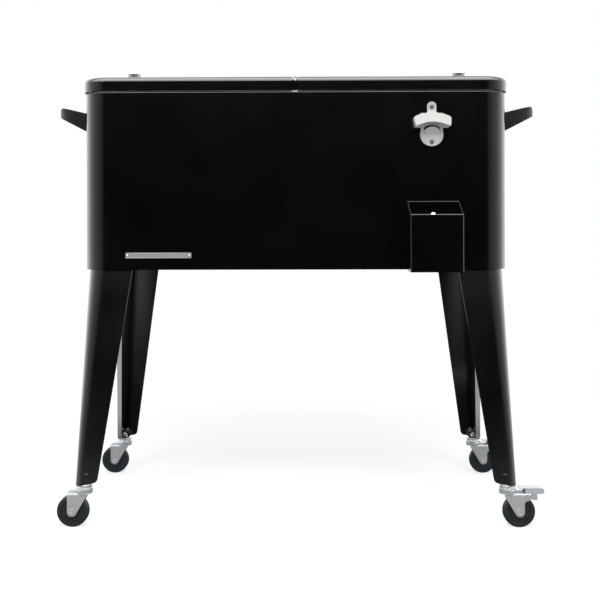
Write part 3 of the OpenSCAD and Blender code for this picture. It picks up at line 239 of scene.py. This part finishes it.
bright_chrome = plated("bright_chrome", (0.80, 0.80, 0.81), metallic=1.0, rough=0.07, grain=150.0, pits=0.03)
knob_nickel = plated("knob_nickel", (0.60, 0.60, 0.61), metallic=0.85, rough=0.14, grain=150.0, pits=0.03)
finish_of_slot = {
    "body_paint": powder_coat("body_powder_coat", tone=0.0014, gloss=0.15, peel=0.05),
    "leg_paint": powder_coat("leg_powder_coat", tone=0.0012, gloss=0.18, peel=0.08),
    "handle_coat": powder_coat("handle_coat", tone=0.0018, gloss=0.44, peel=0.15, sheen=0.14),
    "liner": liner_plastic(),
    "foam": foam_block(),
    "chrome": bright_chrome,
    "zinc": zinc_plate("zinc_plate", tone=0.60, metallic=0.62, rough=0.34),
    "wheel_rubber": wheel_rubber(),
    "seal": seal_rubber(),
    "nylon": black_nylon(),
}
# Nodes whose finish differs from the rest of their slot, by the start of their names
finish_of_node = {
    "bottle_opener": plated("satin_chrome", (0.43, 0.43, 0.426), metallic=0.06, rough=0.50,
                            grain=260.0, pits=0.12, sheen=0.2),
    # The opener's screws take a dark steel colour: painted shade, standing in for the shade in the counterbores around
    # their heads
    "opener_screws": plated("screw_steel_painted_shade", (0.12, 0.12, 0.12), metallic=0.5, rough=0.45,
                            grain=260.0, pits=0.1, sheen=0.3),
    "lid_left_knob": knob_nickel,
    "lid_right_knob": knob_nickel,
    # A lighter copy of the zinc plating on the stems: painted sheen, so that their races read as lit
    "stem_": zinc_plate("zinc_painted_sheen", tone=0.78, metallic=0.75, rough=0.34),
    # A darker, less metallic copy of the zinc plating on the forks: painted shade
    "fork_": zinc_plate("zinc_painted_shade", tone=0.34, metallic=0.25, rough=0.40),
    "foot_bolts": painted_heads(inner=0.2060, outer=0.2070),
}
for part in frame["record"]["subparts"]:
    finish = finish_of_slot[part["material_slot"]]
    for key, special in finish_of_node.items():
        if part["node"] == key or (key.endswith("_") and part["node"].startswith(key)):
            finish = special
    part_mesh = nodes[part["node"]].data
    part_mesh.materials.clear()
    part_mesh.materials.append(finish)


# New pieces

def mesh_object(name, points, faces, material, body, smooth=True):
    """Puts computed points and faces into an object at the origin that rides on a CAD body."""
    mesh = bpy.data.meshes.new(name)
    mesh.from_pydata(points.tolist(), [], [list(f) for f in faces])
    mesh.polygons.foreach_set("use_smooth", np.full(len(mesh.polygons), smooth))
    mesh.materials.append(material)
    mesh.update()
    made = bpy.data.objects.new(name, mesh)
    bpy.context.scene.collection.objects.link(made)
    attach(made, body)


def stacked_rings(rings):
    """Points and faces of a skin through equal rings: quads join each ring to the next, and a fan closes each end."""
    count, size = rings.shape[:2]
    here = np.arange(size)
    after = (here + 1) % size
    lower = (np.arange(count - 1) * size)[:, None]
    quads = np.stack([lower + here, lower + after, lower + size + after, lower + size + here], -1).reshape(-1, 4)
    faces = [tuple(q) for q in quads.tolist()]
    points = np.vstack([rings.reshape(-1, 3), rings[0].mean(0), rings[-1].mean(0)])
    start_centre, end_centre = count * size, count * size + 1
    last = (count - 1) * size
    faces += [(int(b), int(a), start_centre) for a, b in zip(here, after)]
    faces += [(last + int(a), last + int(b), end_centre) for a, b in zip(here, after)]
    return points, faces


def rounded_rectangle(width, height, radius, steps=8):
    """Outline, anticlockwise in x and z: each corner's arc centre plus radius times (cos, sin) of its quarter turn."""
    turn = (np.arange(4)[:, None] * 90 + np.linspace(0, 90, steps)[None, :]) * math.pi / 180
    side = np.array([[1, 1], [-1, 1], [-1, -1], [1, -1]])
    centre = side * [width / 2 - radius, height / 2 - radius]
    return (centre[:, None, :] + radius * np.stack([np.cos(turn), np.sin(turn)], -1)).reshape(-1, 2)


def plate_with_border(width, height, radius, thick, border, sink, centre, front):
    """Nameplate: rounded-rectangle rings, each inset and set forward, with a field that is sunk inside a border.

    Its edge has a chamfer of 0.3 of its thickness, and no corner gets sharper than 0.2 mm.
    """
    chamfer = thick * 0.3
    steps = [(0.0, 0.0), (0.0, thick - chamfer), (chamfer, thick), (border, thick), (border + sink, thick - sink)]
    rings = []
    for inset, forward in steps:
        outline = rounded_rectangle(width - 2 * inset, height - 2 * inset, max(radius - inset, 0.0002))
        flat = np.full(len(outline), front - forward)
        rings.append(np.stack([centre[0] + outline[:, 0], flat, centre[1] + outline[:, 1]], -1))
    return stacked_rings(np.array(rings))


def dome(radius, height, centre, front, around=24, up=6):
    """Rivet head on a wall that faces -Y: rings of radius r cos(t), set forward by height sin(t).

    t runs to 0.96 of a quarter turn, and a fan closes the rest.
    """
    rise = np.linspace(0, math.pi / 2 * 0.96, up)
    turn = np.arange(around) * 2 * math.pi / around
    x = centre[0] + radius * np.cos(rise)[:, None] * np.cos(turn)
    z = centre[1] + radius * np.cos(rise)[:, None] * np.sin(turn)
    y = np.broadcast_to((front - height * np.sin(rise))[:, None], x.shape)
    return stacked_rings(np.stack([x, y, z], -1))


wall_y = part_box("outer_shell")[0][1]
plate_x, plate_z = -0.2678, 0.5212
rivet_out = 0.0605
rivet_seat = wall_y - 0.0005
points, faces = plate_with_border(width=0.1290, height=0.0103, radius=0.0012, thick=0.0007, border=0.0007,
                                  sink=0.0002, centre=(plate_x, plate_z), front=wall_y)
mesh_object("nameplate", points, faces, brushed_plate(), "cabinet", smooth=False)
for rivet_x, name in ((plate_x - rivet_out, "nameplate_rivet_left"), (plate_x + rivet_out, "nameplate_rivet_right")):
    points, faces = dome(radius=0.0017, height=0.0009, centre=(rivet_x, plate_z), front=rivet_seat)
    mesh_object(name, points, faces, bright_chrome, "cabinet")


# Floor, light and camera

def studio_floor(radius=2.4, sides=96):
    """Pale round floor: it takes the cooler's soft shadow near by and fades to plain white further out."""
    turn = np.arange(sides) * 2 * math.pi / sides
    rim = radius * np.stack([np.cos(turn), np.sin(turn), np.zeros(sides)], -1)
    mesh = bpy.data.meshes.new("studio_floor")
    mesh.from_pydata(rim.tolist(), [], [list(range(sides))])
    floor = bpy.data.objects.new("studio_floor", mesh)
    bpy.context.scene.collection.objects.link(floor)
    material = bpy.data.materials.new("studio_floor")
    material.use_nodes = True
    tree = material.node_tree
    tree.nodes.clear()
    place = new_node(tree, "ShaderNodeTexCoord").outputs["Object"]

    # Near the cooler the floor takes shadow, and its own glow brings it up to white
    near = new_node(tree, "ShaderNodeAddShader")
    parts = (new_node(tree, "ShaderNodeBsdfDiffuse", Color=(0.42, 0.42, 0.42, 1)),
             new_node(tree, "ShaderNodeEmission", Strength=0.70))
    for part, target in zip(parts, near.inputs):
        tree.links.new(part.outputs[0], target)
    far = new_node(tree, "ShaderNodeEmission", Strength=1.0)
    from_middle = new_node(tree, "ShaderNodeVectorMath")
    from_middle.operation = "LENGTH"
    tree.links.new(place, from_middle.inputs[0])
    fade = remap(tree, from_middle.outputs["Value"], 0.6, 1.6, 0.0, 1.0, smooth=True)
    seen = mix_shaders(tree, fade, near.outputs[0], far.outputs[0])

    # What gloss and metal see of the floor is a painted glow, as in the photograph: painted shade, dark under the
    # cooler, and painted light, brighter than white beside it
    reflected = new_node(tree, "ShaderNodeEmission")
    sideways = calculate(tree, "ABSOLUTE", axis_of(tree, place, "X"))
    tree.links.new(remap(tree, sideways, 0.5, 0.85, 0.05, 1.4), reflected.inputs["Strength"])
    ray = new_node(tree, "ShaderNodeLightPath")
    result = mix_shaders(tree, ray.outputs["Is Glossy Ray"], seen, reflected.outputs[0])
    out = new_node(tree, "ShaderNodeOutputMaterial")
    tree.links.new(result, out.inputs["Surface"])
    mesh.materials.append(material)


def brightness_curve(tree, source, stops, top):
    """Value that follows the stops (at, value) with straight lines, for at from -1 to 1 and values from 0 to top.

    The curve node holds both scaled to 0..1, so its output is the value divided by top.
    """
    made = new_node(tree, "ShaderNodeFloatCurve")
    tree.links.new(remap(tree, source, -1.0, 1.0, 0.0, 1.0), made.inputs["Value"])
    points = made.mapping.curves[0].points
    while len(points) < len(stops):
        points.new(0.5, 0.5)
    for point, (at, value) in zip(points, stops):
        point.location = ((at + 1) / 2, value / top)
        point.handle_type = "VECTOR"
    made.mapping.update()
    return made.outputs["Value"]


def studio_world():
    """Even white room for the camera and for diffuse light.

    Gloss and metal see the room as it was lit: dark ahead of the cooler's front, white at its sides and behind,
    brighter overhead.
    """
    world = bpy.data.worlds.new("studio")
    bpy.context.scene.world = world
    world.use_nodes = True
    tree = world.node_tree
    tree.nodes.clear()
    place = new_node(tree, "ShaderNodeTexCoord").outputs["Generated"]
    depth, height = axis_of(tree, place, "Y"), axis_of(tree, place, "Z")

    # Walls, from ahead of the front (-1) to behind the back (1), and the lamps overhead, which hang only ahead
    top = 10.0
    around_stops = [(-1.0, 0.0), (-0.89, 0.0), (-0.84, 0.18), (-0.78, 0.25), (-0.65, 0.40), (-0.47, 0.57),
                    (-0.34, 0.65), (-0.09, 1.0), (0.1, 1.4), (0.48, 2.2), (0.77, 2.0), (0.88, 1.2), (1.0, 1.0)]
    above_stops = [(-1.0, 0.0), (0.28, 0.0), (0.38, 5.5), (0.75, 6.0), (0.85, 9.0), (1.0, 9.0)]
    ahead_stops = [(-1.0, top), (-0.1, top), (0.08, 0.0), (1.0, 0.0)]
    around = brightness_curve(tree, depth, around_stops, top)
    above = brightness_curve(tree, height, above_stops, top)
    ahead = brightness_curve(tree, depth, ahead_stops, top)
    strip = calculate(tree, "MULTIPLY", above, ahead)
    brightest = calculate(tree, "MULTIPLY", calculate(tree, "MAXIMUM", around, strip), top)

    reflected = new_node(tree, "ShaderNodeBackground")
    diffuse = new_node(tree, "ShaderNodeBackground", Strength=0.62)
    white = new_node(tree, "ShaderNodeBackground", Strength=1.0)
    for shade in (reflected, diffuse, white):
        shade.inputs["Color"].default_value = (1, 1, 1, 1)
    tree.links.new(brightest, reflected.inputs["Strength"])
    ray = new_node(tree, "ShaderNodeLightPath")
    lighting = mix_shaders(tree, ray.outputs["Is Glossy Ray"], diffuse.outputs[0], reflected.outputs[0])
    result = mix_shaders(tree, ray.outputs["Is Camera Ray"], lighting, white.outputs[0])
    out = new_node(tree, "ShaderNodeOutputWorld")
    tree.links.new(result, out.inputs["Surface"])


def softbox(name, place, aim, size, power):
    """Rectangular lamp at place that faces the point aim, left out of reflections."""
    lamp = bpy.data.lights.new(name, "AREA")
    lamp.shape = "RECTANGLE"
    lamp.size, lamp.size_y = size
    lamp.energy = power
    made = bpy.data.objects.new(name, lamp)
    bpy.context.scene.collection.objects.link(made)
    made.location = place
    across, along, down = (a - p for a, p in zip(aim, place))
    made.rotation_euler = (math.atan2(math.hypot(across, along), -down), 0, math.atan2(-across, along))
    made.visible_glossy = False


def product_camera():
    """Camera in front of the cooler, almost level; the shift keeps the uprights upright.

    Its values were fitted to the photograph: picture size, focal length and the view axis's place in pixels.
    """
    picture, focal = 600, 956.5
    axis_x, axis_y = 303.56, 220.63
    lens = bpy.data.cameras.new("camera")
    lens.sensor_width = 36.0
    lens.lens = focal / picture * lens.sensor_width
    lens.shift_x = (picture / 2 - axis_x) / picture
    lens.shift_y = (axis_y - picture / 2) / picture
    lens.dof.use_dof = False
    made = bpy.data.objects.new("camera", lens)
    bpy.context.scene.collection.objects.link(made)
    made.location = (0.03635, middle_y - 2.0422, 0.5888)
    made.rotation_euler = (math.pi / 2, 0.0024, 0.0105)
    bpy.context.scene.camera = made


studio_floor()
studio_world()
softbox("front_top_softbox", place=(0.0, -1.7, 2.5), aim=(0, 0, 0.6), size=(2.4, 0.9), power=60.0)
product_camera()
bpy.context.scene.view_settings.view_transform = "Standard"
